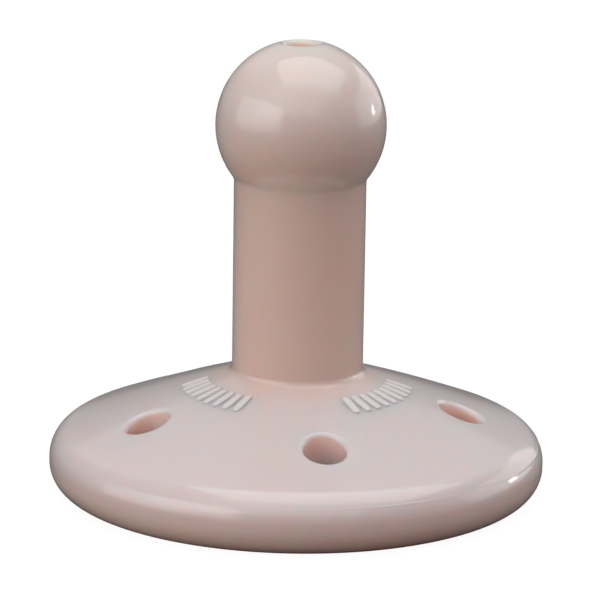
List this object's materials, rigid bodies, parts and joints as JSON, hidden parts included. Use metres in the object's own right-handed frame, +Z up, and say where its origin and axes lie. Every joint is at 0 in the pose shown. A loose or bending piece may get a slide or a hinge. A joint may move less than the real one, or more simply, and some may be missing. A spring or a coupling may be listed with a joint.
{
  "type": "stem pessary",
  "caption": "Soft round dished disc with drain holes, a hollow stem rising from its middle and a ball-shaped finger knob on top, moulded in pink silicone.",
  "frame": {"origin": "on the surface that the rim stands on, on the stem's axis", "axes": "+Z up along the stem, +X to the right and -Y to the front, where the drain hole nearest the viewer is"},
  "size_m": [0.07, 0.07, 0.0635],
  "materials": {
    "silicone": "smooth glossy moulded silicone, pale pink, slightly translucent",
    "silicone_marks": "the same silicone, looking paler and duller on the low raised bars"
  },
  "bodies": {
    "root": {"disc": "silicone", "stem": "silicone", "knob": "silicone", "raised_marks": "silicone_marks"}
  },
  "joints": []
}
